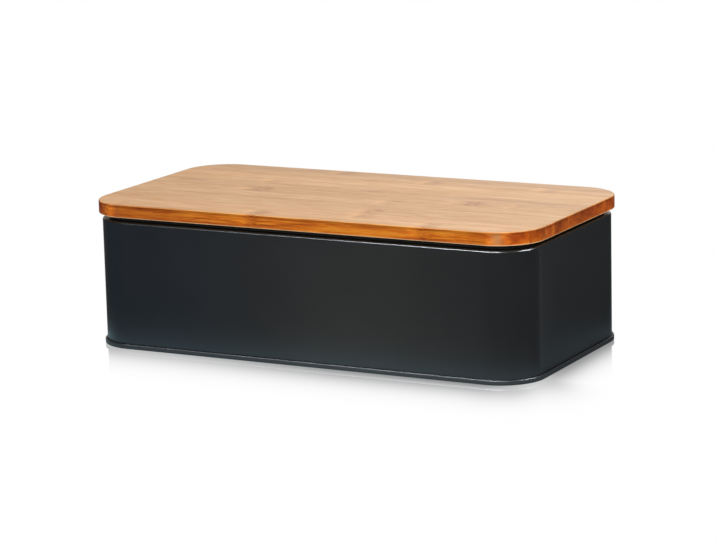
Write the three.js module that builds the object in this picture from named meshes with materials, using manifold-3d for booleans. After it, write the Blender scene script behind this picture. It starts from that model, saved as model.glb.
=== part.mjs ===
import * as THREE from 'three';
import { mergeGeometries, mergeVertices } from 'three/addons/utils/BufferGeometryUtils.js';
import Module from 'manifold-3d';

// Bread box: a low sheet-steel tin with rounded corners under a loose bamboo lid.
// Millimetres, +Z up. The front faces -Y, and the origin is on the floor under the middle.

// The whole box, which the lid's edge bounds
const boxLength = 425;
const boxDepth = 220;
const boxHeight = 129;
const cornerRadius = 39;

// Lid: a board glued up from staves, with a plug below that drops into the tin's neck
const lidThickness = 11.5;
const staveWidth = 20;
const topEdgeRadius = 1.3;
const bottomEdgeRadius = 0.7;
const plugDepth = 5;
const plugEdgeRadius = 1;
const plugClearance = 1.2;

// Tin wall: sheet with a turned-in shoulder, a low neck and a curled rim that carries the lid
const lidOverhang = 3;
const sheetThickness = 0.5;
const shoulderRadius = 2.2;
const neckInset = 5;
const neckBendRadius = 0.8;
const curlDiameter = 2.4;
const curlTail = 0.2;
const curlFootGap = 1.7;
const lidRestGap = 0.3;

// Side seam: the lap of the wall strip's two ends, at the middle of the back
const sideSeamWidth = 6;
const sideSeamSlope = 0.6;

// Double seam round the foot, where the base pan's edge is folded round the wall's hook
const seamHeight = 4.4;
const seamGap = 0.15;
const footBendRadius = 1;
const panelRise = 3.2;
const panelBendRadius = 1.2;

// How far a cutting slab runs past what it cuts
const cutOverrun = 5;

// Flats along a rounded corner of the box, and along a quarter turn of each kind of bend
const cornerSteps = 12;
const shoulderSteps = 5;
const topEdgeSteps = 4;
const bendSteps = 2;
const quarterTurn = Math.PI / 2;

// Heights of the faces that meet: the lid rests on the rim, and the rim's curl clears the shoulder
const lidUnderside = boxHeight - lidThickness;
const rimTop = lidUnderside - lidRestGap;
const shoulderTop = rimTop - curlDiameter - curlFootGap;

// Mid-lines of the sheets, as distances inside the lid's edge or as heights
const halfSheet = sheetThickness / 2;
const layerPitch = sheetThickness + seamGap;
const wallLine = lidOverhang + halfSheet;
const shoulderLine = shoulderTop - halfSheet;

// The double seam's layers, from the inside of the box outwards
const chuckWallLine = wallLine + layerPitch;
const panHookLine = wallLine - layerPitch;
const wallHookLine = panHookLine - layerPitch;
const seamWallLine = wallHookLine - layerPitch;
const wallHookFloor = halfSheet + layerPitch;
const seamTopLine = seamHeight - halfSheet;

// The curled rim
const curlRadius = curlDiameter / 2 - halfSheet;
const curlFrontLine = lidOverhang + neckInset + halfSheet;
const neckLine = curlFrontLine + 2 * curlRadius;
const curlTopLine = rimTop - halfSheet;
const curlFootLine = curlTopLine - 2 * curlRadius;
const plugInset = neckLine + halfSheet + plugClearance;

// The centres that the rounded corners turn about, anticlockwise from the back right one
const centreX = boxLength / 2 - cornerRadius;
const centreY = boxDepth / 2 - cornerRadius;
const cornerCentres = [
  new THREE.Vector2(centreX, centreY),
  new THREE.Vector2(-centreX, centreY),
  new THREE.Vector2(-centreX, -centreY),
  new THREE.Vector2(centreX, -centreY),
];

// Points of a bend nearer each other than this share of its radius are one point
const samePointShare = 0.001;

const wasm = await Module();
wasm.setup();

// A point of a profile. Its x is the radius that it has on the box's rounded corners.
function at(inset, height) {
  return new THREE.Vector2(cornerRadius - inset, height);
}

// A corner of a line, rounded by a bend.
function bend(inset, height, radius, steps = bendSteps) {
  return { point: at(inset, height), radius, steps };
}

// The points of a line that runs from its start, round each bend, to its end.
// A bend takes no more than half of the straight that it shares with the next one.
function bentLine(start, bends, end) {
  const stops = [start, ...bends.map(({ point }) => point), end];
  const points = [start];
  bends.forEach(({ point, radius: wantedRadius, steps }, index) => {
    const arriving = point.clone().sub(stops[index]);
    const leaving = stops[index + 2].clone().sub(point);
    const roomBefore = index === 0 ? arriving.length() : arriving.length() / 2;
    const roomAfter = index === bends.length - 1 ? leaving.length() : leaving.length() / 2;
    arriving.normalize();
    leaving.normalize();
    const turn = Math.atan2(arriving.cross(leaving), arriving.dot(leaving));
    const setbackPerRadius = Math.tan(Math.abs(turn) / 2);
    const setback = Math.min(wantedRadius * setbackPerRadius, roomBefore, roomAfter);
    const radius = setback / setbackPerRadius;
    const arcStart = point.clone().addScaledVector(arriving, -setback);
    const towardsCentre = new THREE.Vector2(-arriving.y, arriving.x).multiplyScalar(Math.sign(turn));
    const arcCentre = arcStart.clone().addScaledVector(towardsCentre, radius);
    for (let step = 0; step <= steps; step += 1) {
      const place = arcStart.clone().rotateAround(arcCentre, (turn * step) / steps);
      const gap = place.distanceTo(points[points.length - 1]);
      if (gap > radius * samePointShare) points.push(place);
    }
  });
  return [...points, end];
}

// One side of a sheet whose mid-line is given: the side is on the right for a positive distance.
function sheetSide(midLine, distance) {
  return midLine.map((point, index) => {
    const before = midLine[Math.max(index - 1, 0)];
    const after = midLine[Math.min(index + 1, midLine.length - 1)];
    const arriving = point.clone().sub(before).normalize();
    const leaving = after.clone().sub(point).normalize();
    const along = arriving.clone().add(leaving).normalize();
    const halfTurnCosine = Math.max(along.dot(arriving), along.dot(leaving));
    const reach = distance / halfTurnCosine;
    return new THREE.Vector2(point.x + along.y * reach, point.y - along.x * reach);
  });
}

// The outline of a sheet: out along its right side and back along its left.
function sheetProfile(midLine) {
  return [...sheetSide(midLine, halfSheet), ...sheetSide(midLine, -halfSheet).reverse()];
}

// The skin of a profile carried round the rounded rectangle of the box: a turned surface,
// parted in four at its corners and stretched along the straight walls between them.
function carriedRound(profile) {
  const columnsPerCorner = cornerSteps + 1;
  const columns = cornerCentres.length * columnsPerCorner;
  const skin = new THREE.LatheGeometry(profile, columns);
  const position = skin.getAttribute('position');
  for (let index = 0; index < position.count; index += 1) {
    const column = Math.floor(index / profile.length) % columns;
    const corner = Math.floor(column / columnsPerCorner);
    const angle = (corner + (column % columnsPerCorner) / cornerSteps) * quarterTurn;
    const { x: radius, y: height } = profile[index % profile.length];
    const centre = cornerCentres[corner];
    position.setXYZ(index, centre.x + radius * Math.cos(angle), centre.y + radius * Math.sin(angle), height);
  }
  return skin;
}

// A hollow ring, from a profile that closes on itself.
function ringGeometry(profile) {
  return carriedRound([...profile, profile[0]]);
}

// A full plate, from a profile that starts below and ends above the corner centres.
function plateGeometry(profile) {
  const underside = new THREE.PlaneGeometry(2 * centreX, 2 * centreY);
  underside.rotateX(Math.PI).translate(0, 0, profile[0].y);
  const topSide = new THREE.PlaneGeometry(2 * centreX, 2 * centreY);
  topSide.translate(0, 0, profile[profile.length - 1].y);
  return mergeGeometries([carriedRound(profile), underside, topSide]);
}

// The closed solid of a geometry whose faces share their corner places.
function solidOf(geometry) {
  const bare = geometry.clone();
  bare.deleteAttribute('normal');
  bare.deleteAttribute('uv');
  const welded = mergeVertices(bare);
  const triVerts = [];
  for (let first = 0; first < welded.index.count; first += 3) {
    const [a, b, c] = [0, 1, 2].map((step) => welded.index.getX(first + step));
    if (a !== b && b !== c && c !== a) triVerts.push(a, b, c);
  }
  const mesh = new wasm.Mesh({
    numProp: 3,
    vertProperties: welded.getAttribute('position').array,
    triVerts: Uint32Array.from(triVerts),
  });
  return new wasm.Manifold(mesh);
}

// The geometry of a solid.
function geometryOf(solid) {
  const { vertProperties, triVerts } = solid.getMesh();
  const geometry = new THREE.BufferGeometry();
  geometry.setAttribute('position', new THREE.BufferAttribute(vertProperties, 3));
  geometry.setIndex(new THREE.BufferAttribute(triVerts, 1));
  geometry.computeVertexNormals();
  return geometry;
}

function namedMesh(name, solid, material) {
  const mesh = new THREE.Mesh(geometryOf(solid), material);
  mesh.name = name;
  return mesh;
}

function charcoalPaint() {
  return new THREE.MeshStandardMaterial({ color: 0x2b2c2e, roughness: 0.42, metalness: 0.2 });
}

// Bamboo, each stave a little lighter or darker than its neighbours.
function bamboo(index) {
  const lightnessShares = [0.97, 1.0, 0.98, 1.02, 0.99, 0.96, 1.0, 1.01, 0.98, 0.97, 1.0];
  const color = new THREE.Color(0xd9b48f);
  color.multiplyScalar(lightnessShares[index % lightnessShares.length]);
  return new THREE.MeshStandardMaterial({ color, roughness: 0.5, metalness: 0 });
}

// The lap of the wall strip's ends: a flat ridge with sloped edges, rooted in the back wall.
function sideSeam() {
  const root = boxDepth / 2 - wallLine;
  const crest = root + halfSheet + sheetThickness;
  const ridge = new THREE.Shape();
  ridge.moveTo(-sideSeamWidth / 2, root);
  ridge.lineTo(sideSeamWidth / 2, root);
  ridge.lineTo(sideSeamWidth / 2 - sideSeamSlope, crest);
  ridge.lineTo(-sideSeamWidth / 2 + sideSeamSlope, crest);
  ridge.closePath();
  const foot = seamHeight + seamGap;
  const head = shoulderTop - shoulderRadius;
  const geometry = new THREE.ExtrudeGeometry(ridge, { depth: head - foot, bevelEnabled: false });
  return solidOf(geometry.translate(0, 0, foot));
}

// The wall, from the hook in the double seam up over the shoulder and neck to the curled rim.
function bodyShell() {
  const midLine = bentLine(
    at(wallHookLine, seamTopLine - layerPitch),
    [
      bend(wallHookLine, wallHookFloor, layerPitch),
      bend(wallLine, wallHookFloor, layerPitch),
      bend(wallLine, shoulderLine, shoulderRadius - halfSheet, shoulderSteps),
      bend(neckLine, shoulderLine, neckBendRadius + halfSheet),
      bend(neckLine, curlTopLine, curlRadius),
      bend(curlFrontLine, curlTopLine, curlRadius),
      bend(curlFrontLine, curlFootLine, curlRadius),
    ],
    at(curlFrontLine + curlRadius + curlTail, curlFootLine),
  );
  const wall = solidOf(ringGeometry(sheetProfile(midLine)));
  return namedMesh('body_shell', wall.add(sideSeam()), charcoalPaint());
}

// The base pan, from the raised panel down round the foot and up over the wall's hook.
function basePan() {
  const midLine = bentLine(
    at(cornerRadius, panelRise + halfSheet),
    [
      bend(chuckWallLine, panelRise + halfSheet, panelBendRadius),
      bend(chuckWallLine, halfSheet, footBendRadius - halfSheet),
      bend(seamWallLine, halfSheet, footBendRadius - halfSheet),
      bend(seamWallLine, seamTopLine, layerPitch),
      bend(panHookLine, seamTopLine, layerPitch),
    ],
    at(panHookLine, wallHookFloor + layerPitch),
  );
  return namedMesh('base_pan', solidOf(plateGeometry(sheetProfile(midLine))), charcoalPaint());
}

// The whole lid board, whose underside is at height zero round the plug.
function lidBoard() {
  const edge = bentLine(
    at(plugInset, 0),
    [
      bend(0, 0, bottomEdgeRadius),
      bend(0, lidThickness, topEdgeRadius, topEdgeSteps),
    ],
    at(cornerRadius, lidThickness),
  );
  const plugEdge = bentLine(
    at(cornerRadius, -plugDepth),
    [bend(plugInset, -plugDepth, plugEdgeRadius)],
    at(plugInset, 0),
  );
  return solidOf(plateGeometry([...plugEdge.slice(0, -1), ...edge]));
}

// The slab of space between two glue lines.
function staveSlab(front, back) {
  const reach = boxLength / 2 + cutOverrun;
  const footprint = new THREE.Shape();
  footprint.moveTo(-reach, front);
  footprint.lineTo(reach, front);
  footprint.lineTo(reach, back);
  footprint.lineTo(-reach, back);
  footprint.closePath();
  const depth = lidThickness + plugDepth + 2 * cutOverrun;
  const geometry = new THREE.ExtrudeGeometry(footprint, { depth, bevelEnabled: false });
  return solidOf(geometry.translate(0, 0, -plugDepth - cutOverrun));
}

// The lid's staves, from the front one to the back one, parted along the glue lines.
function lidStaves() {
  const board = lidBoard();
  const count = Math.round(boxDepth / staveWidth);
  const glueLine = (index) => (index / count) * boxDepth - boxDepth / 2;
  return Array.from({ length: count }, (_, index) => {
    const front = index === 0 ? glueLine(0) - cutOverrun : glueLine(index);
    const back = index === count - 1 ? glueLine(count) + cutOverrun : glueLine(index + 1);
    const name = `lid_stave_${String(index + 1).padStart(2, '0')}`;
    return namedMesh(name, board.intersect(staveSlab(front, back)), bamboo(index));
  });
}

const tin = new THREE.Group();
tin.add(bodyShell(), basePan());

const lid = new THREE.Group();
lid.position.z = lidUnderside;
lid.add(...lidStaves());

const breadBox = new THREE.Group();
breadBox.add(tin, lid);

export default breadBox;
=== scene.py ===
"""The look of a low bread box: a charcoal sheet-steel tin under a loose bamboo lid.

Every length is in metres unless its name says mm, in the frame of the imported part: +X along the
box, -Y to its front, +Z up.
"""

from __future__ import annotations

import logging
import math
from dataclasses import dataclass
from enum import Enum
from typing import Sequence, Union

import bmesh
import bpy
from mathutils import Matrix, Vector


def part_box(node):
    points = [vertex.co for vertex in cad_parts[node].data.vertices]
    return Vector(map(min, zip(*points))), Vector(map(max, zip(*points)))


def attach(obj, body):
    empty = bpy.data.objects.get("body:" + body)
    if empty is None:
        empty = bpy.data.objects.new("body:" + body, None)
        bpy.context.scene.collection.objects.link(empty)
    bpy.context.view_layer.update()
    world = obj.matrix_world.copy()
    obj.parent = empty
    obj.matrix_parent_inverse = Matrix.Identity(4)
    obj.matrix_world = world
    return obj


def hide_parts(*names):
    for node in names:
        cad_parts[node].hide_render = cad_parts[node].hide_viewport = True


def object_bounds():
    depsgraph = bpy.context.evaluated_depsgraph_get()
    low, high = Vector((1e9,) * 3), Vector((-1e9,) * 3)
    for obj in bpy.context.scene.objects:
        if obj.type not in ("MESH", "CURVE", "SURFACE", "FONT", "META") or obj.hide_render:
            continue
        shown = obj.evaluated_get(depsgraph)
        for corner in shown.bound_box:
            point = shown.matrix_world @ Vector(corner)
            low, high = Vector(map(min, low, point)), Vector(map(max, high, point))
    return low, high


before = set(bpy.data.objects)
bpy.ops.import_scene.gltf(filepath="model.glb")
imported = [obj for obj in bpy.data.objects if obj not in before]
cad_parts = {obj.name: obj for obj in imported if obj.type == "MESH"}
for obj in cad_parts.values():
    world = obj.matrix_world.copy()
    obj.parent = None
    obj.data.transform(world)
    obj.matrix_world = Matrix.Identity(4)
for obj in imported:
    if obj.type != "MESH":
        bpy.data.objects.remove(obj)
cad_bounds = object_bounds()

MM = 0.001
QUARTER_TURN = math.pi / 2
SHARP_ANGLE = math.radians(32)
PLUG_DEPTH = 5.0 * MM
CORNER_RADIUS = 39.0 * MM
log = logging.getLogger("bread_box")

Triple = tuple[float, float, float]
Colour = Triple
Span = tuple[float, float]
Number = Union[float, "Signal"]
Tint = Union[Colour, "Signal"]
Place = tuple["Signal", "Signal", "Signal"]
Grown = Union[bmesh.types.BMVert, bmesh.types.BMEdge]

WHITE: Colour = (1.0, 1.0, 1.0)
ROOM_GLOW: Colour = (0.078, 0.088, 0.096)
STRIP_TINT: Colour = (0.92, 1.0, 1.06)


class Slot(Enum):
    """The record's material slots."""

    PAINT = "charcoal_paint"
    BAMBOO = "bamboo"


class Body(Enum):
    """The bodies that pieces ride on."""

    TIN = "tin"
    LID = "lid"


# Shader expressions


@dataclass(frozen=True)
class Signal:
    """A value that changes over a surface, held by an output socket of a shader node.

    Arithmetic on signals adds Math nodes, so a pattern reads as an expression.
    """

    bench: "ShaderBench"
    socket: bpy.types.NodeSocket

    def __add__(self, other: Number) -> "Signal":
        """This value plus another."""
        return self.bench.maths("ADD", self, other)

    def __sub__(self, other: Number) -> "Signal":
        """This value minus another."""
        return self.bench.maths("SUBTRACT", self, other)

    def __rsub__(self, other: Number) -> "Signal":
        """Another value minus this one."""
        return self.bench.maths("SUBTRACT", other, self)

    def __mul__(self, other: Number) -> "Signal":
        """This value times another."""
        return self.bench.maths("MULTIPLY", self, other)

    def __truediv__(self, other: Number) -> "Signal":
        """This value over another."""
        return self.bench.maths("DIVIDE", self, other)

    def __pow__(self, other: float) -> "Signal":
        """This value to a power."""
        return self.bench.maths("POWER", self, other)

    def __neg__(self) -> "Signal":
        """This value with its sign changed."""
        return self.bench.maths("MULTIPLY", self, -1.0)

    def __abs__(self) -> "Signal":
        """This value without its sign."""
        return self.bench.maths("ABSOLUTE", self)

    __radd__ = __add__
    __rmul__ = __mul__

    def at_least(self, low: float) -> "Signal":
        """This value, or the low one where it would be lower."""
        return self.bench.maths("MAXIMUM", self, low)

    def clamp(self) -> "Signal":
        """This value held between 0 and 1."""
        return self.bench.node("ShaderNodeClamp", inputs={"Value": self})

    def rise(self, span: Span) -> "Signal":
        """A smooth rise over this value, from 0 at the span's low end to 1 at its high end."""
        inputs = {"Value": self, "From Min": span[0], "From Max": span[1]}
        return self.bench.node("ShaderNodeMapRange", {"interpolation_type": "SMOOTHSTEP"}, inputs)

    def decay(self) -> "Signal":
        """A fall over this value, from 1 at nought to about 0.37 at one."""
        return self.bench.maths("EXPONENT", -self)

    def bell(self, width: float) -> "Signal":
        """A bell curve over this value, 1 at nought and about 0.37 a width away from it."""
        share = self / width
        return (share * share).decay()


class ShaderBench:
    """Builds the node tree of one material or world."""

    def __init__(self, owner: Union[bpy.types.Material, bpy.types.World]) -> None:
        """Clears the owner's node tree and keeps it.

        Args:
            owner: The material or world whose nodes are built.
        """
        owner.use_nodes = True
        self.tree = owner.node_tree
        self.tree.nodes.clear()

    def place(
        self,
        kind: str,
        settings: dict[str, object] | None = None,
        inputs: dict[Union[str, int], object] | None = None,
    ) -> bpy.types.ShaderNode:
        """Adds a node, sets it up and wires its inputs.

        Args:
            kind: The node's type, such as "ShaderNodeTexNoise".
            settings: Properties to set first; "stops" fills a colour ramp.
            inputs: Values or signals for its sockets, by name or number.

        Returns:
            The node.
        """
        made = self.tree.nodes.new(kind)
        for name, value in (settings or {}).items():
            if name == "stops":
                self._fill_ramp(made.color_ramp, value)
            else:
                setattr(made, name, value)
        for name, value in (inputs or {}).items():
            if isinstance(value, Signal):
                self.tree.links.new(value.socket, made.inputs[name])
            else:
                made.inputs[name].default_value = value
        return made

    def node(
        self,
        kind: str,
        settings: dict[str, object] | None = None,
        inputs: dict[Union[str, int], object] | None = None,
        output: Union[str, int] = 0,
    ) -> Signal:
        """Adds a node as place does.

        Args:
            kind: The node's type.
            settings: Properties to set first.
            inputs: Values or signals for its sockets.
            output: Which output is wanted.

        Returns:
            That output as a signal.
        """
        return Signal(self, self.place(kind, settings, inputs).outputs[output])

    @staticmethod
    def _fill_ramp(ramp: bpy.types.ColorRamp, stops: Sequence[tuple[float, Colour]]) -> None:
        """Gives a colour ramp its stops.

        Args:
            ramp: The ramp to fill.
            stops: Place from 0 to 1 and colour of each stop, in order.
        """
        while len(ramp.elements) < len(stops):
            ramp.elements.new(1.0)
        for element, (place, colour) in zip(ramp.elements, stops):
            element.position = place
            element.color = (*colour, 1.0)

    def maths(self, operation: str, *values: Number) -> Signal:
        """The result of one Math node.

        Args:
            operation: The Math node's operation.
            values: Its operands, in order.

        Returns:
            The result.
        """
        return self.node("ShaderNodeMath", {"operation": operation}, dict(enumerate(values)))

    def parts(self, vector: Signal) -> Place:
        """The three values of a vector."""
        split = self.place("ShaderNodeSeparateXYZ", inputs={0: vector})
        return tuple(Signal(self, output) for output in split.outputs)

    def place_in_mm(self) -> Place:
        """Where a surface point is on its object, in millimetres."""
        place = self.node("ShaderNodeTexCoord", output="Object")
        return tuple(part / MM for part in self.parts(place))

    def noise(
        self, place: Sequence[Number], cell: Triple, detail: float = 2.0, roughness: float = 0.5
    ) -> Signal:
        """Soft noise from 0 to 1.

        Args:
            place: Where the noise is read. A number in it picks one slice of the noise.
            cell: About how long, wide and deep a spot of the noise is.
            detail: How many finer layers it has.
            roughness: How strong the finer layers are.

        Returns:
            The noise.
        """
        scaled = {axis: part / size for axis, (part, size) in enumerate(zip(place, cell))}
        vector = self.node("ShaderNodeCombineXYZ", inputs=scaled)
        inputs = {"Vector": vector, "Scale": 1.0, "Detail": detail, "Roughness": roughness}
        return self.node("ShaderNodeTexNoise", inputs=inputs, output="Fac")

    def ramp(self, value: Signal, stops: Sequence[float], colours: Sequence[Colour]) -> Signal:
        """The colour that a value has on a ramp.

        Args:
            value: The value, from 0 to 1.
            stops: The values of the ramp's stops, in order.
            colours: The colour at each stop.

        Returns:
            The colour.
        """
        settings = {"stops": tuple(zip(stops, colours))}
        return self.node("ShaderNodeValToRGB", settings, {0: value}, output="Color")

    def mix(self, share: Number, first: Tint, second: Tint, blend: str = "MIX") -> Signal:
        """Two colours mixed.

        Args:
            share: How much of the second colour there is, from 0 to 1.
            first: The first colour.
            second: The second colour.
            blend: The Mix node's blend type.

        Returns:
            The mixed colour.
        """
        colours = [tint if isinstance(tint, Signal) else (*tint, 1.0) for tint in (first, second)]
        settings = {"data_type": "RGBA", "blend_type": blend}
        # Of the node's sockets, colours have inputs 6 and 7 and output 2.
        inputs = {0: share, 6: colours[0], 7: colours[1]}
        return self.node("ShaderNodeMix", settings, inputs, output=2)

    def tinted(self, colour: Tint, strength: Number) -> Signal:
        """A colour made lighter or darker by a strength."""
        inputs = {0: colour, "Scale": strength}
        return self.node("ShaderNodeVectorMath", {"operation": "SCALE"}, inputs)

    def added(self, first: Signal, second: Signal) -> Signal:
        """The sum of two colours."""
        return self.node("ShaderNodeVectorMath", {"operation": "ADD"}, {0: first, 1: second})

    def along(self, direction: Signal, axis: Vector) -> Signal:
        """How far a direction points along an axis, from -1 to 1."""
        settings = {"operation": "DOT_PRODUCT"}
        return self.node("ShaderNodeVectorMath", settings, {0: direction, 1: axis}, output="Value")

    def is_ray(self, kind: str) -> Signal:
        """1 for the light path's rays of a kind, such as "Camera", and 0 for all others."""
        return self.node("ShaderNodeLightPath", output=f"Is {kind} Ray")

    def finish_coat(
        self, colour: Signal, roughness: Signal, specular: float, height: Signal, depth: float
    ) -> None:
        """Makes the surface a coat of one finish.

        Args:
            colour: Its colour.
            roughness: Its roughness.
            specular: How strongly it mirrors, which is the same all over.
            height: Its relief, from 0 to 1.
            depth: How deep the relief is, in metres.
        """
        relief = {"Height": height, "Distance": depth, "Strength": 1.0}
        inputs = {
            "Base Color": colour,
            "Roughness": roughness,
            "Specular IOR Level": specular,
            "Normal": self.node("ShaderNodeBump", inputs=relief),
        }
        self.finish_surface(self.node("ShaderNodeBsdfPrincipled", inputs=inputs))

    def finish_surface(self, shader: Signal, output: str = "ShaderNodeOutputMaterial") -> None:
        """Wires a shader to the tree's output."""
        self.place(output, inputs={0: shader})


# Finishes


@dataclass(frozen=True)
class PowderCoat:
    """Satin charcoal powder coat on sheet steel, with a faint orange peel."""

    name: str
    dark: Colour = (0.0086, 0.0089, 0.0091)
    light: Colour = (0.0108, 0.0110, 0.0111)
    shade_stops: Span = (0.35, 0.65)
    roughness: float = 0.25
    roughness_spread: float = 0.04
    specular: float = 0.6
    cloud_mm: float = 55.0
    peel_mm: float = 1.6
    peel_share: float = 0.3
    peel_depth: float = 0.002 * MM

    def material(self) -> bpy.types.Material:
        """Makes the finish.

        Returns:
            The material.
        """
        made = bpy.data.materials.new(self.name)
        bench = ShaderBench(made)
        place = bench.place_in_mm()
        cloud = bench.noise(place, (self.cloud_mm,) * 3, detail=3.0)
        peel = bench.noise(place, (self.peel_mm,) * 3, detail=1.0)
        shade = cloud * (1.0 - self.peel_share) + peel * self.peel_share
        colour = bench.ramp(shade, self.shade_stops, (self.dark, self.light))
        roughness = (cloud - 0.5) * self.roughness_spread + self.roughness
        bench.finish_coat(colour, roughness, self.specular, peel, self.peel_depth)
        return made


@dataclass(frozen=True)
class Knuckle:
    """The mark that a ring of the culm leaves across a stave, at a place along it."""

    place: float
    strength: float = 0.6
    reach_mm: float = 8.0


@dataclass(frozen=True)
class StainAndShade:
    """A dark streak along a stave, at a share of its width from its front: a stain, and in one
    place painted shade.
    """

    start: float
    end: float
    share: float
    strength: float = 0.6
    half_width_mm: float = 1.8


@dataclass(frozen=True)
class PaintedSheen:
    """A painted highlight on a stave's edge, where light glints off fibres sanded across."""

    place: float
    reach_mm: float = 5.0
    strength: float = 0.5


@dataclass(frozen=True)
class Stave:
    """What tells one stave of the lid from the others.

    That is how light its face and its end are, and its marks.
    """

    tone: float = 1.0
    end_tone: float = 1.0
    knuckles: tuple[Knuckle, ...] = ()
    stains_and_shade: tuple[StainAndShade, ...] = ()
    sheens: tuple[PaintedSheen, ...] = ()


@dataclass(frozen=True)
class Bamboo:
    """Planed and oiled bamboo of one stave, with its long fibres and the marks of its knuckles.

    Flat faces are honey brown. The edges, where the cut fibres drink more oil, are deeper.
    Sizes of streaks and patches are lengths, widths and depths in millimetres. A span is the low
    and the high end of a smooth rise. A seed sets how far apart two staves read the same noise.
    """

    number: int
    front: float
    back: float
    underside: float
    top: float
    stave: Stave
    face: tuple[Colour, Colour, Colour] = (
        (0.47, 0.216, 0.062),
        (0.55, 0.290, 0.117),
        (0.63, 0.364, 0.172),
    )
    edge: tuple[Colour, Colour, Colour] = (
        (0.42, 0.082, 0.004),
        (0.68, 0.163, 0.005),
        (0.85, 0.290, 0.018),
    )
    face_stops: Triple = (0.41, 0.50, 0.59)
    edge_stops: Triple = (0.43, 0.50, 0.57)
    flat_span: Span = (0.25, 0.75)
    end_span: Span = (0.20, 0.80)

    fibre_mm: Triple = (20.0, 0.9, 0.6)
    band_mm: Triple = (46.0, 3.4, 1.8)
    strip_mm: Triple = (125.0, 9.0, 6.0)
    streak_shares: Triple = (0.34, 0.38, 0.28)
    streak_roughness: float = 0.62
    shift_mm: float = 137.0
    drift_cell_mm: Triple = (55.0, 14.0, 14.0)
    drift_mm: float = 7.0
    drift_upwards: float = 0.7

    end_patch_mm: float = 14.0
    end_patch_seed: float = 2.7
    end_patch_share: float = 0.28
    end_band_share: float = 0.28
    end_ground: float = 0.24
    end_drift: float = 0.08
    # Darkens the sawn ends: end grain, and partly painted shade.
    end_grain_and_shade_tint: Colour = (0.62, 0.47, 0.30)

    fleck_mm: Triple = (7.0, 0.45, 0.45)
    fleck_span: Span = (0.56, 0.72)
    fleck_strength: float = 0.16
    mark_tint: Colour = (0.60, 0.40, 0.25)
    mark_depth: float = 0.4

    knuckle_seed: float = 3.1
    knuckle_cell_mm: float = 5.0
    knuckle_wobble_mm: float = 10.0
    dash_mm: Triple = (9.0, 1.5, 1.1)
    dash_span: Span = (0.42, 0.60)
    dash_share: float = 0.80
    swirl_cell_mm: Triple = (6.0, 5.0, 5.0)
    swirl_mm: float = 6.0
    pale_offset: float = 1.5
    pale_reach: float = 0.6
    pale_glow: float = 0.14

    dark_streak_core: float = 0.6
    dark_streak_band_share: float = 1.2
    dark_streak_ground: float = 0.1

    # The fine lines and the colour of the painted highlights near the corners.
    sheen_lines_mm: Triple = (0.9, 1.0, 9.0)
    sheen_lines_seed: float = 1.3
    sheen_lines_span: Span = (0.38, 0.62)
    sheen_lines_share: float = 0.4
    sheen_tint: Colour = (0.40, 0.175, 0.058)

    # Painted highlight: a pale line on the rounded lower arris, where light from the floor would
    # catch it.
    lower_arris_highlight_mm: float = 0.6
    lower_arris_highlight_span: Span = (0.90, 0.97)
    lower_arris_highlight_strength: float = 0.8
    lower_arris_highlight_tint: Colour = (0.92, 0.60, 0.30)
    # Painted highlight that lightens the tilted roundings of the board's edges.
    rounding_highlight_span: Span = (0.80, 0.99)
    rounding_highlight_glow: float = 0.25
    glue_mm: float = 0.30
    glue_shade: float = 0.30
    oil_line_mm: float = 1.7
    oil_spread_mm: float = 1.1
    oil_depth: float = 0.38
    oil_end_loss: float = 0.4

    fibre_depth: float = 0.02 * MM
    roughness: float = 0.32
    roughness_spread: float = 0.12
    specular: float = 0.2

    def material(self) -> bpy.types.Material:
        """Makes the finish.

        Returns:
            The material.
        """
        made = bpy.data.materials.new(f"bamboo_{self.number:02d}")
        bench = ShaderBench(made)
        x, y, z = bench.place_in_mm()
        above = z - self.underside / MM
        normal = bench.parts(bench.node("ShaderNodeNewGeometry", output="Normal"))
        tilt = abs(normal[2])
        upright = 1.0 - tilt
        flat = tilt.rise(self.flat_span)
        end = abs(normal[0]).rise(self.end_span)
        near_knuckle, pale = self._knuckles(x, y, z)
        fibres = self._wandering_fibres(x, y, z, near_knuckle)
        fibre = self._streaks(fibres, self.fibre_mm)
        band = self._streaks(fibres, self.band_mm)
        strip = self._streaks(fibres, self.strip_mm)
        grain = self._grain((fibre, band, strip), y, above, end)
        face = bench.ramp(grain, self.face_stops, self.face)
        edge = bench.ramp(grain, self.edge_stops, self.edge)
        fleck = self._streaks(fibres, self.fleck_mm).rise(self.fleck_span)
        dash = self._streaks(fibres, self.dash_mm).rise(self.dash_span)
        knuckle = near_knuckle * (dash * self.dash_share + (1.0 - self.dash_share))
        # mark includes the painted shade at the left end of the front edge.
        mark = (knuckle + self._stains_and_shade(x, y, band) + fleck * self.fleck_strength).clamp()
        # Painted highlight along the lower arris, just above the underside.
        lower_arris_highlight = above.bell(self.lower_arris_highlight_mm) * (1.0 - tilt.rise(self.lower_arris_highlight_span))
        colour = bench.mix(flat, edge, face)
        colour = bench.mix(mark, colour, self.mark_tint, blend="MULTIPLY")
        # Sawn ends darkened as end grain and partly as painted shade.
        colour = bench.mix(end * upright, colour, self.end_grain_and_shade_tint, blend="MULTIPLY")
        # Painted highlights: pale patches on the upright edge where a light glints.
        colour = bench.mix(self._sheens(x, z) * upright, colour, self.sheen_tint)
        # Paints the lower arris's highlight into the colour.
        colour = bench.mix(lower_arris_highlight * self.lower_arris_highlight_strength, colour, self.lower_arris_highlight_tint)
        tone = end * (self.stave.end_tone - self.stave.tone) + self.stave.tone
        oiled = self._oil_line(z) * (1.0 - flat) * (1.0 - end * self.oil_end_loss)
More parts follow.
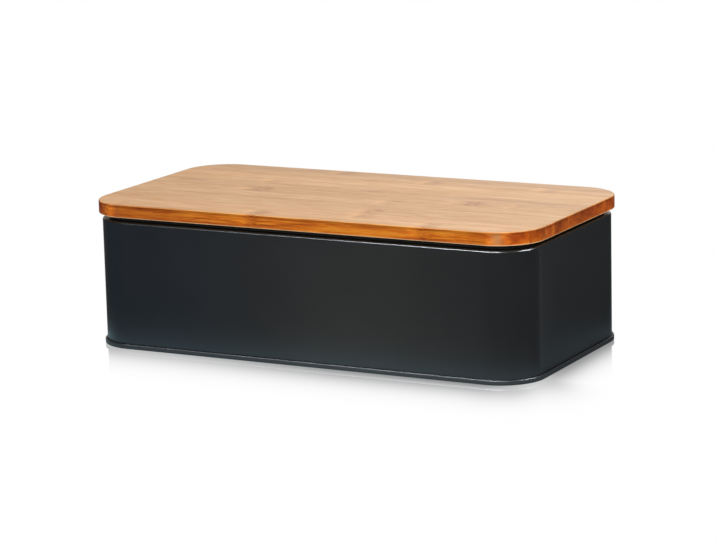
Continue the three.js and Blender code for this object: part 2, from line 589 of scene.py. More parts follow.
        # Painted highlight on the roundings, where the normal tilts between flat and upright.
        rounding_highlight = flat * (1.0 - tilt.rise(self.rounding_highlight_span)) * self.rounding_highlight_glow
        glued = 1.0 - self._glue_lines(y) * self.glue_shade
        shade = (pale * self.pale_glow + 1.0) * glued * (1.0 - oiled + rounding_highlight) * tone
        roughness = self.roughness - (fibre - 0.5) * self.roughness_spread
        relief = fibre - mark * self.mark_depth
        colour = bench.tinted(colour, shade)
        bench.finish_coat(colour, roughness, self.specular, relief, self.fibre_depth)
        return made

    def _grain(self, streaks: Place, y: Signal, above: Signal, end: Signal) -> Signal:
        """The wood's light and dark: streaks along the stave, and soft patches on its sawn ends.

        Args:
            streaks: Fine, middling and broad streaks.
            y: Place across the stave, in millimetres.
            above: Place above the lid's underside.
            end: How far the surface faces along the stave, from 0 to 1.

        Returns:
            The grain, from 0 to 1.
        """
        fibre, band, strip = (part * share for part, share in zip(streaks, self.streak_shares))
        side_grain = fibre + band + strip
        size = self.end_patch_mm
        seed = self.number * self.end_patch_seed
        patch = y.bench.noise((seed, y, above), (1.0, size, size), detail=1.0)
        patched = patch * self.end_patch_share + streaks[1] * self.end_band_share
        end_grain = patched + self.end_ground - above / size * self.end_drift
        return side_grain + (end_grain - side_grain) * end

    def _streaks(self, fibres: Place, size: Triple) -> Signal:
        """Noise drawn out along the fibres.

        Args:
            fibres: The place along and across the fibres, in millimetres.
            size: A streak's length, width and depth in millimetres.

        Returns:
            The streaks, from 0 to 1.
        """
        bench = fibres[0].bench
        return bench.noise(fibres, size, detail=3.0, roughness=self.streak_roughness)

    def _knuckles(self, x: Signal, y: Signal, z: Signal) -> tuple[Signal, Signal]:
        """Where the culm's knuckles mark the stave.

        Args:
            x: Place along the stave, in millimetres.
            y: Place across it.
            z: Place up through it.

        Returns:
            How dark the mark is and how bright the pale wood beside it, each from 0 to 1.
        """
        size = self.knuckle_cell_mm
        swing = x.bench.noise((self.number * self.knuckle_seed, y, z), (1.0, size, size)) - 0.5
        mark = pale = x * 0.0
        for knuckle in self.stave.knuckles:
            reach = knuckle.reach_mm
            offset = x - knuckle.place / MM + swing * self.knuckle_wobble_mm
            mark = offset.bell(reach) * knuckle.strength + mark
            pale = (offset + self.pale_offset * reach).bell(self.pale_reach * reach) + pale
        return mark.clamp(), pale.clamp()

    def _wandering_fibres(self, x: Signal, y: Signal, z: Signal, near_knuckle: Signal) -> Place:
        """Places that follow the stave's fibres, which drift along it and swirl at a knuckle.

        Args:
            x: Place along the stave, in millimetres.
            y: Place across it.
            z: Place up through it.
            near_knuckle: How near a knuckle is, from 0 to 1.

        Returns:
            The places along, across and up, in millimetres.
        """
        along = x + self.number * self.shift_mm
        drift = (x.bench.noise((along, y, z), self.drift_cell_mm) - 0.5) * self.drift_mm
        swirl = x.bench.noise((along, y, z), self.swirl_cell_mm) - 0.5
        swirl = swirl * near_knuckle * self.swirl_mm
        return along, y + drift + swirl, z + drift * self.drift_upwards + swirl

    def _stains_and_shade(self, x: Signal, y: Signal, band: Signal) -> Signal:
        """How dark the stave's stains and painted shade are, from 0 to 1.

        Args:
            x: Place along the stave, in millimetres.
            y: Place across it.
            band: Streaks that break the stains up.

        Returns:
            The stains and painted shade.
        """
        total = x * 0.0
        broken = band * self.dark_streak_band_share + self.dark_streak_ground
        for dark_streak in self.stave.stains_and_shade:
            middle = (dark_streak.start + dark_streak.end) / 2 / MM
            half_length = (dark_streak.end - dark_streak.start) / 2 / MM
            line = (self.front + (self.back - self.front) * dark_streak.share) / MM
            reach = 1.0 - abs(x - middle).rise((self.dark_streak_core * half_length, half_length))
            width = (y - line).bell(dark_streak.half_width_mm)
            total = reach * width * broken * dark_streak.strength + total
        return total

    def _sheens(self, x: Signal, z: Signal) -> Signal:
        """How pale the painted highlights make the edge where its fibres are sanded across, from 0
        to 1.

        Args:
            x: Place along the stave, in millimetres.
            z: Place up through it.

        Returns:
            The painted highlights.
        """
        total = x * 0.0
        seed = self.number * self.sheen_lines_seed
        sheen_lines = x.bench.noise((x, seed, z), self.sheen_lines_mm).rise(self.sheen_lines_span)
        lined_sheen = sheen_lines * self.sheen_lines_share + (1.0 - self.sheen_lines_share)
        for sheen in self.stave.sheens:
            reach = (x - sheen.place / MM).bell(sheen.reach_mm)
            total = reach * lined_sheen * sheen.strength + total
        return total

    def _oil_line(self, z: Signal) -> Signal:
        """How much darker the edge is just below the top's rounding, where wiped oil gathers."""
        below_line = self.top / MM - self.oil_line_mm - z
        return below_line.bell(self.oil_spread_mm) * self.oil_depth

    def _glue_lines(self, y: Signal) -> Signal:
        """1 on the glue lines at the stave's two sides."""
        front, back = (y - side / MM for side in (self.front, self.back))
        return (front.bell(self.glue_mm) + back.bell(self.glue_mm)).clamp()


# Shapes


@dataclass(frozen=True)
class Outline:
    """The rounded rectangle that the lid's edge follows, seen from above."""

    half_length: float
    half_depth: float
    corner_radius: float

    def corner_centres(self) -> list[Vector]:
        """Works out the centres of the rounded corners.

        Returns:
            The centres, anticlockwise from the back right one.
        """
        x = self.half_length - self.corner_radius
        y = self.half_depth - self.corner_radius
        return [Vector((x, y, 0)), Vector((-x, y, 0)), Vector((-x, -y, 0)), Vector((x, -y, 0))]


@dataclass(frozen=True)
class Turn:
    """A point of a profile line, by its distance inside the outline and its height.

    A radius above zero rounds the line there.
    """

    inset: float
    height: float
    radius: float = 0.0
    steps: int = 6


class Skin:
    """A profile line carried round an outline as a surface.

    SUPPORT is how far from each end of a straight a vertex keeps its shading flat. Vertices that
    are no further apart than SAME_POINT are one.
    """

    CORNER_STEPS = 24
    SUPPORT = 1.2 * MM
    SAME_POINT = 0.001 * MM

    def __init__(self, outline: Outline, turns: Sequence[Turn]) -> None:
        """Draws the profile and carries it round.

        Args:
            outline: The rounded rectangle that it follows.
            turns: The points of the profile.
        """
        self.outline = outline
        self.mesh = bmesh.new()
        self._draw_profile(turns)
        self._carry_round()

    def _point(self, turn: Turn) -> Vector:
        """Where a point of the profile is at the start of the back right corner."""
        centre = self.outline.corner_centres()[0]
        return centre + Vector((self.outline.corner_radius - turn.inset, 0, turn.height))

    def _extrude_to(self, vert: bmesh.types.BMVert, place: Vector) -> bmesh.types.BMVert:
        """Draws an edge from a vertex to a place.

        Args:
            vert: Where it starts.
            place: Where it ends.

        Returns:
            The new vertex.
        """
        new = bmesh.ops.extrude_vert_indiv(self.mesh, verts=[vert])["verts"][0]
        bmesh.ops.translate(self.mesh, verts=[new], vec=place - vert.co)
        return new

    def _run_to(self, vert: bmesh.types.BMVert, place: Vector) -> bmesh.types.BMVert:
        """Draws a straight to a place, with a vertex near each end that keeps its shading flat.

        Args:
            vert: Where it starts.
            place: Where it ends.

        Returns:
            The last vertex.
        """
        start = vert.co.copy()
        run = place - start
        if run.length < self.SAME_POINT:
            return vert
        stops = [place]
        if run.length > 3 * self.SUPPORT:
            support = run.normalized() * self.SUPPORT
            stops = [start + support, place - support, place]
        for stop in stops:
            vert = self._extrude_to(vert, stop)
        return vert

    def _spin(
        self, geom: Sequence[Grown], centre: Vector, axis: Vector, angle: float, steps: int
    ) -> list[Grown]:
        """Spins vertices and edges through an arc.

        Args:
            geom: What is spun.
            centre: A point of the axis.
            axis: The direction of the axis.
            angle: How far round it goes.
            steps: How many steps it takes.

        Returns:
            The vertices and edges that it ends on.
        """
        spun = bmesh.ops.spin(
            self.mesh,
            geom=geom,
            cent=centre,
            axis=axis,
            dvec=Vector(),
            angle=angle,
            space=Matrix.Identity(4),
            steps=steps,
            use_merge=False,
        )
        return spun["geom_last"]

    def _draw_profile(self, turns: Sequence[Turn]) -> None:
        """Draws the profile line, each of its corners rounded by a spin.

        Args:
            turns: The points of the profile.
        """
        points = [self._point(turn) for turn in turns]
        vert = self.mesh.verts.new(points[0])
        for index in range(1, len(turns) - 1):
            turn, point = turns[index], points[index]
            arriving = (point - points[index - 1]).normalized()
            leaving = (points[index + 1] - point).normalized()
            angle = arriving.angle(leaving)
            if turn.radius == 0.0:
                vert = self._run_to(vert, point)
                continue
            arc_start = point - arriving * turn.radius * math.tan(angle / 2)
            vert = self._run_to(vert, arc_start)
            axis = arriving.cross(leaving).normalized()
            centre = arc_start + axis.cross(arriving) * turn.radius
            vert = self._spin([vert], centre, axis, angle, turn.steps)[0]
        self._run_to(vert, points[-1])

    def _carry_round(self) -> None:
        """Spins the profile round each corner and draws it along each side."""
        mesh = self.mesh
        upwards = Vector((0, 0, 1))
        ring = mesh.verts[:] + mesh.edges[:]
        centres = self.outline.corner_centres()
        for centre, following in zip(centres, centres[1:] + centres[:1]):
            ring = self._spin(ring, centre, upwards, QUARTER_TURN, self.CORNER_STEPS)
            run = following - centre
            support = run.normalized() * self.SUPPORT
            for step in (support, run - 2 * support, support):
                grown = bmesh.ops.extrude_edge_only(mesh, edges=edges_of(ring))["geom"]
                verts = [part for part in grown if isinstance(part, bmesh.types.BMVert)]
                bmesh.ops.translate(mesh, verts=verts, vec=step)
                moved = set(verts)
                ring = verts + [edge for edge in edges_of(grown) if moved.issuperset(edge.verts)]
        bmesh.ops.remove_doubles(mesh, verts=mesh.verts[:], dist=self.SAME_POINT)


def edges_of(geom: Sequence[Grown]) -> list[bmesh.types.BMEdge]:
    """The edges among parts of a mesh."""
    return [part for part in geom if isinstance(part, bmesh.types.BMEdge)]


def fill_holes(mesh: bmesh.types.BMesh) -> None:
    """Closes each open ring of a mesh with one flat face."""
    open_edges = [edge for edge in mesh.edges if edge.is_boundary]
    bmesh.ops.holes_fill(mesh, edges=open_edges, sides=0)


def face_outwards(mesh: bmesh.types.BMesh) -> None:
    """Turns every face of a mesh outwards."""
    bmesh.ops.recalc_face_normals(mesh, faces=mesh.faces[:])


def to_object(mesh: bmesh.types.BMesh, name: str, material: bpy.types.Material) -> bpy.types.Object:
    """Makes a bmesh an object of the scene, smooth but for its sharp edges.

    Args:
        mesh: The shape, which is freed.
        name: The object's name.
        material: Its finish.

    Returns:
        The object.
    """
    for face in mesh.faces:
        face.smooth = True
    for edge in mesh.edges:
        edge.smooth = not edge.is_boundary
    data = bpy.data.meshes.new(name)
    mesh.to_mesh(data)
    mesh.free()
    data.materials.append(material)
    data.set_sharp_from_angle(angle=SHARP_ANGLE)
    made = bpy.data.objects.new(name, data)
    bpy.context.scene.collection.objects.link(made)
    return made


def declare(piece: bpy.types.Object, node: str, body: Body) -> None:
    """Says which CAD node a piece stands for and what it rides on.

    Args:
        piece: The piece.
        node: The node that it replaces.
        body: The body that carries it.
    """
    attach(piece, body.value)
    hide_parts(node)
    log.info("%s stands for %s and rides on %s", piece.name, node, body.value)


# The tin


@dataclass
class Tin:
    """The sheet-steel box: its wall with shoulder, neck and curled rim, and its base pan."""

    outline: Outline
    lid_underside: float
    sheet: float = 0.5 * MM
    overhang: float = 3.0 * MM
    shoulder_radius: float = 2.2 * MM
    neck_inset: float = 5.0 * MM
    neck_radius: float = 0.8 * MM
    curl_diameter: float = 2.4 * MM
    curl_tail: float = 0.2 * MM
    curl_foot_gap: float = 1.7 * MM
    rest_gap: float = 0.3 * MM
    seam_height: float = 4.4 * MM
    seam_gap: float = 0.15 * MM
    foot_radius: float = 1.0 * MM
    panel_rise: float = 3.2 * MM
    panel_radius: float = 1.2 * MM
    panel_border: float = 8.0 * MM
    side_seam_width: float = 6.0 * MM
    side_seam_slope: float = 0.6 * MM
    finish: PowderCoat = PowderCoat("powder_coat")
    base_finish: PowderCoat = PowderCoat("powder_coat_of_base", roughness=0.38, specular=0.8)

    def __post_init__(self) -> None:
        """Works out where the middle of the sheet runs."""
        self.half_sheet = self.sheet / 2
        self.layer = self.sheet + self.seam_gap
        self.wall_line = self.overhang + self.half_sheet
        self.rim_top = self.lid_underside - self.rest_gap
        self.shoulder_top = self.rim_top - self.curl_diameter - self.curl_foot_gap
        self.seam_top_line = self.seam_height - self.half_sheet
        self.hook_floor = self.half_sheet + self.layer
        self.panel_line = self.panel_rise + self.half_sheet

    def build(self) -> list[bpy.types.Object]:
        """Builds and dresses the wall, the seam up its back and the base.

        Returns:
            The pieces.
        """
        material = self.finish.material()
        wall = self._wall(material)
        base = self._base(self.base_finish.material())
        seam = self._side_seam(material)
        declare(wall, "body_shell", Body.TIN)
        declare(seam, "body_shell", Body.TIN)
        declare(base, "base_pan", Body.TIN)
        return [wall, seam, base]

    def _thicken(self, piece: bpy.types.Object) -> None:
        """Gives a piece the thickness of the sheet, half on each side.

        Args:
            piece: The piece, whose mesh is the middle of the sheet.
        """
        solidify = piece.modifiers.new("sheet", "SOLIDIFY")
        solidify.thickness = self.sheet
        solidify.offset = 0.0
        solidify.use_even_offset = True

    def _wall(self, material: bpy.types.Material) -> bpy.types.Object:
        """The wall, from its hook in the double seam up to its curled rim.

        Args:
            material: Its finish.

        Returns:
            The piece.
        """
        curl_radius = self.curl_diameter / 2 - self.half_sheet
        curl_front = self.overhang + self.neck_inset + self.half_sheet
        neck_line = curl_front + 2 * curl_radius
        curl_top = self.rim_top - self.half_sheet
        curl_foot = curl_top - 2 * curl_radius
        hook_line = self.wall_line - 2 * self.layer
        shoulder_line = self.shoulder_top - self.half_sheet
        shoulder_radius = self.shoulder_radius - self.half_sheet
        skin = Skin(
            self.outline,
            (
                Turn(hook_line, self.seam_top_line - self.layer),
                Turn(hook_line, self.hook_floor, self.layer),
                Turn(self.wall_line, self.hook_floor, self.layer),
                Turn(self.wall_line, shoulder_line, shoulder_radius, steps=10),
                Turn(neck_line, shoulder_line, self.neck_radius + self.half_sheet),
                Turn(neck_line, curl_top, curl_radius),
                Turn(curl_front, curl_top, curl_radius),
                Turn(curl_front, curl_foot, curl_radius),
                Turn(curl_front + curl_radius + self.curl_tail, curl_foot),
            ),
        )
        face_outwards(skin.mesh)
        wall = to_object(skin.mesh, "tin_wall", material)
        self._thicken(wall)
        return wall

    def _side_seam(self, material: bpy.types.Material) -> bpy.types.Object:
        """The lap of the wall strip's two ends: a flat ridge up the middle of the back.

        Args:
            material: Its finish.

        Returns:
            The piece.
        """
        root = self.outline.half_depth - self.wall_line
        rise = self.half_sheet + self.sheet
        foot = self.seam_height + self.seam_gap
        head = self.shoulder_top - self.shoulder_radius
        size = Vector((self.side_seam_width, rise, head - foot))
        middle = Vector((0, root + rise / 2, (head + foot) / 2))
        mesh = bmesh.new()
        bmesh.ops.create_cube(mesh, size=1.0)
        bmesh.ops.scale(mesh, verts=mesh.verts[:], vec=size)
        bmesh.ops.translate(mesh, verts=mesh.verts[:], vec=middle)
        crest = [vert for vert in mesh.verts if vert.co.y > middle.y]
        crest_share = 1.0 - 2 * self.side_seam_slope / self.side_seam_width
        bmesh.ops.scale(mesh, verts=crest, vec=Vector((crest_share, 1, 1)))
        crest_edges = [edge for edge in mesh.edges if all(vert in crest for vert in edge.verts)]
        bmesh.ops.bevel(
            mesh,
            geom=crest_edges,
            offset=self.half_sheet / 2,
            affect="EDGES",
            segments=3,
            profile=0.5,
            material=-1,
        )
        return to_object(mesh, "tin_side_seam", material)

    def _base(self, material: bpy.types.Material) -> bpy.types.Object:
        """The base pan, from its raised panel round the foot and over the wall's hook.

        Args:
            material: Its finish.

        Returns:
            The piece.
        """
        chuck_line = self.wall_line + self.layer
        hook_line = self.wall_line - self.layer
        seam_line = self.wall_line - 3 * self.layer
        foot_radius = self.foot_radius - self.half_sheet
        skin = Skin(
            self.outline,
            (
                Turn(chuck_line + self.panel_border, self.panel_line),
                Turn(chuck_line, self.panel_line, self.panel_radius),
                Turn(chuck_line, self.half_sheet, foot_radius),
                Turn(seam_line, self.half_sheet, foot_radius),
                Turn(seam_line, self.seam_top_line, self.layer),
                Turn(hook_line, self.seam_top_line, self.layer),
                Turn(hook_line, self.hook_floor + self.layer),
            ),
        )
        self._fill_panel(skin)
        face_outwards(skin.mesh)
        base = to_object(skin.mesh, "tin_base", material)
        self._thicken(base)
        return base

    def _fill_panel(self, skin: Skin) -> None:
        """Closes the middle of the base with its flat panel.

        Args:
            skin: The base's skin, open at its middle and at its hook.
        """
        raised = {
            vert for vert in skin.mesh.verts if abs(vert.co.z - self.panel_line) < Skin.SAME_POINT
        }
        rim = [
            edge
            for edge in skin.mesh.edges
            if edge.is_boundary and raised.issuperset(edge.verts)
        ]
        bmesh.ops.holes_fill(skin.mesh, edges=rim, sides=0)


# The lid


@dataclass
class Lid:
    """The bamboo board, glued up from staves, with its plug below."""

    outline: Outline
    underside: float
    thickness: float
    plug_depth: float
    plug_inset: float = 11.6 * MM
    plug_radius: float = 1.0 * MM
    plug_border: float = 6.0 * MM
    top_radius: float = 1.3 * MM
    bottom_radius: float = 0.7 * MM
    staves: tuple[Stave, ...] = (
        Stave(
            1.045,
            1.00,
            (Knuckle(-0.178, 0.35, 4.0), Knuckle(-0.040, 0.85), Knuckle(0.122, 0.75)),
            (
                # The first streak is painted shade that darkens the left end of the lid's front
                # edge.
                StainAndShade(-0.300, -0.090, 0.0, 0.8, 3.5),
                StainAndShade(0.000, 0.215, 0.0, 0.24, 3.0),
                StainAndShade(0.158, 0.192, 0.0, 0.40, 3.0),
            ),
            # Painted highlights where light glints just past the starts of the front stave's
            # corners.
            (PaintedSheen(0.1862, 4.6, 0.95), PaintedSheen(-0.176, 3.0, 0.25)),
        ),
        Stave(1.03, 0.85, (Knuckle(0.052, 0.75),)),
        Stave(0.98, 1.00, (Knuckle(0.049, 0.85),), (StainAndShade(0.045, 0.100, 0.6),)),
        Stave(0.97, 0.82, (), (StainAndShade(-0.184, 0.020, 0.9), StainAndShade(0.070, 0.200, 0.9))),
        Stave(1.00, 0.95, (Knuckle(0.046, 0.5),)),
        Stave(
            0.98,
            0.85,
            (Knuckle(-0.095, 0.95, 12.0), Knuckle(0.113, 1.0, 14.0), Knuckle(0.157, 0.4, 5.0)),
        ),
        Stave(
            0.96,
            1.00,
            (),
            (
                StainAndShade(-0.195, -0.160, 0.7, 0.9),
                StainAndShade(-0.012, 0.018, 0.7, 0.9),
                StainAndShade(0.080, 0.205, 0.6, 0.8),
                StainAndShade(0.050, 0.225, 0.5, 0.22, 9.0),
            ),
        ),
        Stave(1.04, 1.05, (Knuckle(-0.101, 0.3),)),
        Stave(1.085, 1.15),
        Stave(
            1.01,
            1.00,
            (Knuckle(0.038, 0.7), Knuckle(0.152, 0.5)),
            (StainAndShade(-0.195, -0.156, 0.5),),
        ),
        Stave(0.90, 1.00, (Knuckle(-0.060, 0.4),)),
    )

    @property
    def top(self) -> float:
        """The height of the board's upper face."""
        return self.underside + self.thickness

    def build(self) -> list[bpy.types.Object]:
        """Builds and dresses the staves, from the front one to the back one.

        Returns:
            The staves.
        """
        board = self._board()
        width = 2 * self.outline.half_depth / len(self.staves)
        pieces = []
        for number, stave in enumerate(self.staves, start=1):
            front = -self.outline.half_depth + (number - 1) * width
            back = front + width
            finish = Bamboo(number, front, back, self.underside, self.top, stave)
            shape = self._cut_stave(board, front, back)
            piece = to_object(shape, f"stave_{number:02d}", finish.material())
            declare(piece, f"lid_stave_{number:02d}", Body.LID)
            pieces.append(piece)
        board.free()
        return pieces

    def _board(self) -> bmesh.types.BMesh:
        """The whole board with its plug.

        Returns:
            The board.
        """
        low = self.underside - self.plug_depth
        skin = Skin(
            self.outline,
            (
                Turn(self.plug_inset + self.plug_border, low),
                Turn(self.plug_inset, low, self.plug_radius, steps=4),
                Turn(self.plug_inset, self.underside),
                Turn(0.0, self.underside, self.bottom_radius, steps=4),
                Turn(0.0, self.top, self.top_radius, steps=8),
                Turn(self.plug_inset + self.plug_border, self.top),
            ),
        )
        fill_holes(skin.mesh)
        face_outwards(skin.mesh)
        return skin.mesh

    @staticmethod
    def _cut_stave(board: bmesh.types.BMesh, front: float, back: float) -> bmesh.types.BMesh:
        """Cuts one stave out of a copy of the board, along its glue lines.

        Args:
            board: The whole board.
            front: The place of the stave's front glue line.
            back: The place of its back one.

        Returns:
            The stave.
        """
        stave = board.copy()
        for place, outwards in ((front, -1), (back, 1)):
            bmesh.ops.bisect_plane(
                stave,
                geom=stave.verts[:] + stave.edges[:] + stave.faces[:],
                dist=Skin.SAME_POINT,
                plane_co=Vector((0, place, 0)),
                plane_no=Vector((0, outwards, 0)),
                clear_outer=True,
            )
            fill_holes(stave)
        face_outwards(stave)
        return stave


# The studio


class Reach(Enum):
    """What a light acts on."""

    MATT = "the matt part of every finish"
    TIN_GLOSS = "the gloss of the tin alone"


@dataclass(frozen=True)
class Softbox:
    """A soft light that faces the box, with its place and size in degrees and metres.

    Its azimuth runs round the box from the front towards the right.
    """

    name: str
    azimuth: float
    elevation: float
    distance: float
    width: float
    height: float
    radiance: float
    reach: Reach
    tint: Colour = WHITE

    def hang(self, tin: bpy.types.Collection) -> None:
        """Adds the light to the scene.

        Args:
            tin: The pieces of the tin.
        """
        data = bpy.data.lights.new(self.name, "AREA")
        data.shape = "RECTANGLE"
        data.size, data.size_y = self.width, self.height
        data.energy = self.radiance * math.pi * self.width * self.height
        data.color = self.tint
        light = bpy.data.objects.new(self.name, data)
        round_box = Matrix.Rotation(math.radians(self.azimuth), 4, "Z")
        over_box = Matrix.Rotation(math.radians(90 - self.elevation), 4, "X")
        light.matrix_world = round_box @ over_box @ Matrix.Translation((0, 0, self.distance))
        light.visible_diffuse = self.reach is Reach.MATT
        light.visible_glossy = self.reach is Reach.TIN_GLOSS
        if self.reach is Reach.TIN_GLOSS:
            light.light_linking.receiver_collection = tin
        bpy.context.scene.collection.objects.link(light)


class FloorSpot:
    """Where a point of the floor is, in millimetres, and where the tin mirrors it.

    x and y are its place and away is its distance from the foot of the box. outwards is how far
    it is to the right of the box, and at least 1. beside is 1 there and 0 elsewhere.
    """

    def __init__(self, bench: ShaderBench, outline: Outline) -> None:
        """Works out the distances from the box's outline.

        Args:
            bench: Where the nodes go.
            outline: The outline of the box.
        """
        self.x, self.y, _ = bench.place_in_mm()
        side, self.front = outline.half_length / MM, outline.half_depth / MM
        self.radius = outline.corner_radius / MM
        self.beyond_x = (abs(self.x) - (side - self.radius)).at_least(0.0)
        self.beyond_y = (abs(self.y) - (self.front - self.radius)).at_least(0.0)
        squares = self.beyond_x * self.beyond_x + self.beyond_y * self.beyond_y
        self.beyond = bench.maths("SQRT", squares)
        self.away = self.beyond - self.radius
        self.outwards = (self.x - side).at_least(1.0)
        self.beside = self.x.rise((side, side + self.radius))

    def along_front(self, slant: float) -> Signal:
        """Where along the front the point is seen mirrored, for a slant of the line of sight."""
        return self.x - (self.y + self.front) * slant

    def along_side(self, slant: float) -> Signal:
        """Where along the right side it lies on a slanting line, from the end of the corner."""
        return self.y - self.outwards * slant + self.front - self.radius

    def stretch(self, sideways: float) -> Signal:
        """1 off the front and back and sideways off the sides, with a smooth change between."""
        return (self.beyond_x * sideways + self.beyond_y) / self.beyond


@dataclass(frozen=True)
class PaleFloor:
    """A white floor that mirrors the foot of the box, with a soft pool of light in front.

    It is white to the eye and lights the box evenly, and the glows are what the box's gloss sees.
    It is clear from below, so that the base can be seen. A span is the low and the high end of a
    smooth rise, in millimetres. A slant is that of the camera's line of sight, and the middle and
    reach of the flare are slants too.
    """

    outline: Outline

    mirror_share: float = 0.70
    mirror_reach_mm: float = 34.5
    mirror_side_reach: float = 0.525
    mirror_falloff: float = 1.55
    corner_loss: float = 0.40
    corner_middle_mm: float = -16.0
    corner_reach_mm: float = 35.0
    corner_span: Span = (165.0, 205.0)
    left_loss: float = 0.28
    left_span: Span = (-150.0, 90.0)
    back_loss: float = 0.65
    back_span: Span = (85.0, 140.0)

    front_slant: float = 0.55
    side_slant: float = 1.93
    front_span: Span = (30.0, 110.0)
    foot_glow: Colour = (0.34, 0.64, 0.78)
    foot_reach_mm: float = 42.0
    foot_shares: Triple = (0.6, 0.4, 0.15)
    bead_span: Span = (4.0, 20.0)
    bead_loss: float = 0.75
    skirt_glow: Colour = (0.13, 0.18, 0.19)
    skirt_reach_mm: float = 95.0
    skirt_shares: tuple[float, float] = (0.5, 0.8)
    pool_glow: Colour = (0.28, 0.27, 0.25)
    pool_middle_mm: float = 55.0
    pool_reach_mm: float = 105.0
    pool_span: Span = (60.0, 200.0)
    cool_glow: Colour = (0.00, 0.05, 0.12)
    cool_span: Span = (0.0, 130.0)

    room_glow: Colour = ROOM_GLOW
    right_loss: float = 0.22
    right_span: Span = (180.0, 330.0)
    side_loss: float = 0.3
    side_fade_mm: float = 45.0
    flare_glow: float = 2.5
    flare_middle: float = -0.24
    flare_reach: float = 0.23

    behind_glow: Colour = (0.30, 0.36, 0.38)
    behind_reach_mm: float = 120.0
    behind_span: Span = (60.0, 120.0)
    behind_right_span: Span = (-60.0, 270.0)

    def material(self) -> bpy.types.Material:
        """Makes the finish.

        Returns:
            The material.
        """
        made = bpy.data.materials.new("pale_floor")
        made.cycles.emission_sampling = "NONE"
        bench = ShaderBench(made)
        spot = FloorSpot(bench, self.outline)
        glow = bench.tinted(self.room_glow, self._room_share(spot))
        glow = bench.added(self._front_glow(bench, spot), glow)
        glow = bench.added(glow, bench.tinted(self.behind_glow, self._behind_share(spot)))
        seen = bench.mix(bench.is_ray("Glossy"), WHITE, glow)
        lit = bench.node("ShaderNodeEmission", inputs={"Color": seen, "Strength": 1.0})
        gloss = {"Color": (*WHITE, 1.0), "Roughness": 0.0}
        mirror = bench.node("ShaderNodeBsdfGlossy", inputs=gloss)
        share = self._mirror_share(spot) * bench.is_ray("Camera")
        upper = bench.node("ShaderNodeMixShader", inputs={0: share, 1: lit, 2: mirror})
        from_below = bench.node("ShaderNodeNewGeometry", output="Backfacing")
        clear = bench.node("ShaderNodeBsdfTransparent")
        sides = {0: from_below, 1: upper, 2: clear}
        bench.finish_surface(bench.node("ShaderNodeMixShader", inputs=sides))
        return made

    def _mirror_share(self, spot: FloorSpot) -> Signal:
        """How strongly the floor mirrors the box, which fades away from its foot.

        Args:
            spot: A point of the floor.

        Returns:
            The mirror's share, from 0 to 1.
        """
        reach = spot.stretch(self.mirror_side_reach) * self.mirror_reach_mm
        fading = ((spot.away.at_least(0.0) / reach) ** self.mirror_falloff).decay()
        mirrored = spot.along_side(-self.side_slant) - self.corner_middle_mm
        at_corner = mirrored.bell(self.corner_reach_mm) * spot.x.rise(self.corner_span)
        at_left = 1.0 - spot.x.rise(self.left_span)
        at_back = spot.y.rise(self.back_span)
        clouded = (1.0 - at_corner * self.corner_loss) * (1.0 - at_left * self.left_loss)
        return fading * clouded * (1.0 - at_back * self.back_loss) * self.mirror_share

    def _room_share(self, spot: FloorSpot) -> Signal:
        """How light the room is where the floor is seen reflected in the tin.

        Args:
            spot: A point of the floor.

        Returns:
            The share of the room's glow that is left there.
        """
        side_place = spot.along_side(self.side_slant)
        fading = (side_place.at_least(0.0) / self.side_fade_mm).decay() * self.side_loss
        turn = side_place / spot.outwards - self.flare_middle
        flare = turn.bell(self.flare_reach) * self.flare_glow
        beside = (fading + flare - self.side_loss) * spot.beside + 1.0
        at_right = spot.along_front(self.front_slant).rise(self.right_span)
        return beside * (1.0 - at_right * self.right_loss)

    def _front_glow(self, bench: ShaderBench, spot: FloorSpot) -> Signal:
        """What the floor before the box adds to the reflections on its front.

        Args:
            bench: Where the nodes go.
            spot: A point of the floor.

        Returns:
            The glow.
        """
        wall_place = spot.along_front(self.front_slant)
        before = (-spot.y).rise(self.front_span)
        well_before = (-spot.y).rise(self.pool_span)
        pool = (wall_place - self.pool_middle_mm).bell(self.pool_reach_mm) * well_before
        cool = (-wall_place).rise(self.cool_span) * well_before
        past_bead = spot.away.rise(self.bead_span) * self.bead_loss + (1.0 - self.bead_loss)
        of_front, of_pool, of_foot = self.foot_shares
        foot = before * of_front + pool * of_pool + of_foot
        foot = spot.away.bell(self.foot_reach_mm) * foot * past_bead
        of_pool, of_skirt = self.skirt_shares
        skirt = spot.away.bell(self.skirt_reach_mm) * (pool * of_pool + of_skirt) * before
        glow = bench.added(bench.tinted(self.foot_glow, foot), bench.tinted(self.pool_glow, pool))
        glow = bench.added(glow, bench.tinted(self.skirt_glow, skirt))
        return bench.added(glow, bench.tinted(self.cool_glow, cool))

    def _behind_share(self, spot: FloorSpot) -> Signal:
        """How light the floor behind the box is, where its back reflects it.

        Args:
            spot: A point of the floor.

        Returns:
            The share of the glow behind the box that is seen there.
        """
        in_view = spot.y.rise(self.behind_span) * (1.0 - spot.x.rise(self.behind_right_span))
        return spot.away.bell(self.behind_reach_mm) * in_view


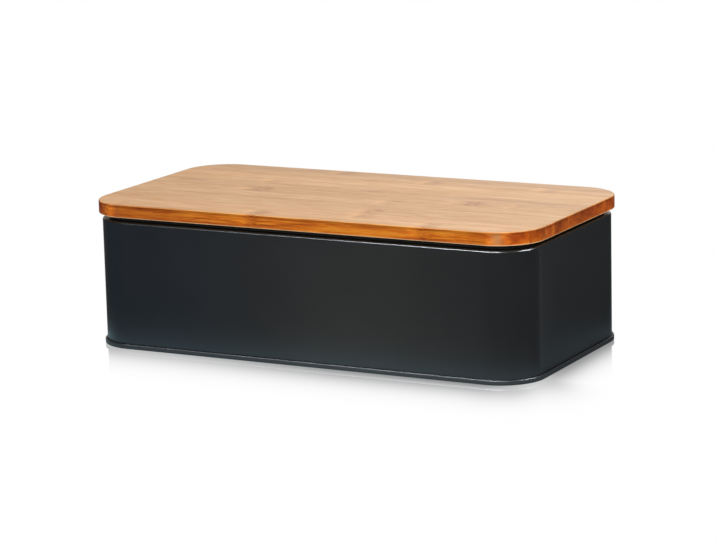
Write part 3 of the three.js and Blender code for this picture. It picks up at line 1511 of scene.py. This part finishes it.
@dataclass(frozen=True)
class Surroundings:
    """A white sweep behind the box and a dim room elsewhere.

    It is white to the eye, and the sweep and the room are what the box's gloss sees. A span is
    the low and the high end of a smooth rise over how far a direction points along an axis.
    """

    right: Vector
    room_glow: Colour = ROOM_GLOW
    sweep_tint: Colour = (1.0, 0.98, 0.93)
    sweep_dim: float = 0.62
    sweep_bright: float = 1.40
    sweep_middle: Vector = Vector((-0.36, 0.91, 0.20))
    sweep_span: Span = (0.66, 0.92)
    above_span: Span = (0.02, 0.14)
    bright_span: Span = (-0.13, 0.10)
    right_span: Span = (0.26, 0.46)

    def world(self) -> bpy.types.World:
        """Makes the surroundings.

        Returns:
            The world.
        """
        made = bpy.data.worlds.new("studio")
        bench = ShaderBench(made)
        direction = bench.node("ShaderNodeTexCoord", output="Generated")
        above = bench.parts(direction)[2].rise(self.above_span)
        towards_sweep = bench.along(direction, self.sweep_middle)
        rightwards = bench.along(direction, self.right)
        panel = rightwards.rise(self.bright_span) * (self.sweep_bright - self.sweep_dim)
        panel = bench.tinted(self.sweep_tint, panel + self.sweep_dim)
        sweep = towards_sweep.rise(self.sweep_span) * (1.0 - rightwards.rise(self.right_span))
        share = sweep * above * bench.is_ray("Glossy")
        glow = bench.mix(share, self.room_glow, panel)
        to_eye = bench.maths("MAXIMUM", bench.is_ray("Camera"), bench.is_ray("Singular"))
        seen = bench.mix(to_eye, glow, WHITE)
        shader = bench.node("ShaderNodeBackground", inputs={"Color": seen, "Strength": 1.0})
        bench.finish_surface(shader, "ShaderNodeOutputWorld")
        return made


@dataclass
class Studio:
    """A pale floor, soft lights and the camera of the photograph."""

    outline: Outline
    floor_reach: float = 20.0
    lens_mm: float = 145.8
    sensor_mm: float = 36.0
    sight: float = 50.0
    camera_place: Vector = Vector((1.1617, -2.2100, 0.5848))
    camera_right: Vector = Vector((0.88747, 0.46023, -0.02413))
    camera_up: Vector = Vector((-0.07332, 0.19267, 0.97852))
    softboxes: tuple[Softbox, ...] = (
        Softbox("top_fill", 10, 84, 1.6, 1.8, 1.6, 3.05, Reach.MATT),
        Softbox("front_fill", 34, 22, 1.2, 0.9, 0.8, 3.6, Reach.MATT),
        Softbox("right_fill", 85, 30, 2.0, 1.6, 1.0, 0.9, Reach.MATT),
        Softbox("front_strip", 0.6, 36, 1.6, 1.38, 0.14, 106.0, Reach.TIN_GLOSS, STRIP_TINT),
        Softbox("right_strip", 95, 36, 1.6, 0.8, 0.14, 90.0, Reach.TIN_GLOSS, STRIP_TINT),
    )

    def build(self, tin_pieces: Sequence[bpy.types.Object]) -> None:
        """Sets up the camera, the floor, the surroundings and the lights.

        Args:
            tin_pieces: The tin, which the strips of light are for.
        """
        self._camera()
        self._floor()
        scene = bpy.context.scene
        scene.world = Surroundings(self.camera_right).world()
        tin = bpy.data.collections.new("tin_pieces")
        for piece in tin_pieces:
            tin.objects.link(piece)
        for softbox in self.softboxes:
            softbox.hang(tin)
        scene.view_settings.view_transform = "Standard"

    def _camera(self) -> None:
        """Places the camera as the photograph's."""
        data = bpy.data.cameras.new("camera")
        data.lens = self.lens_mm
        data.sensor_width = self.sensor_mm
        data.clip_end = self.sight
        camera = bpy.data.objects.new("camera", data)
        back = self.camera_right.cross(self.camera_up)
        turned = Matrix((self.camera_right, self.camera_up, back)).transposed()
        camera.matrix_world = Matrix.Translation(self.camera_place) @ turned.to_4x4()
        bpy.context.scene.collection.objects.link(camera)
        bpy.context.scene.camera = camera

    def _floor(self) -> None:
        """Lays the floor."""
        mesh = bmesh.new()
        bmesh.ops.create_grid(mesh, x_segments=1, y_segments=1, size=self.floor_reach)
        data = bpy.data.meshes.new("floor")
        mesh.to_mesh(data)
        mesh.free()
        data.materials.append(PaleFloor(self.outline).material())
        floor = bpy.data.objects.new("floor", data)
        bpy.context.scene.collection.objects.link(floor)


def main() -> None:
    """Builds the tin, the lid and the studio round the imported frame."""
    logging.basicConfig(level=logging.INFO, format="%(name)s: %(message)s")
    stave_low, stave_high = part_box("lid_stave_06")
    underside = stave_low[2] + PLUG_DEPTH
    outline = Outline(
        half_length=(cad_bounds[1][0] - cad_bounds[0][0]) / 2,
        half_depth=(cad_bounds[1][1] - cad_bounds[0][1]) / 2,
        corner_radius=CORNER_RADIUS,
    )
    tin_pieces = Tin(outline, underside).build()
    staves = Lid(outline, underside, stave_high[2] - underside, PLUG_DEPTH).build()
    Studio(outline).build(tin_pieces)
    log.info("The tin has %d pieces and the lid %d staves", len(tin_pieces), len(staves))


if __name__ == "__main__":
    main()
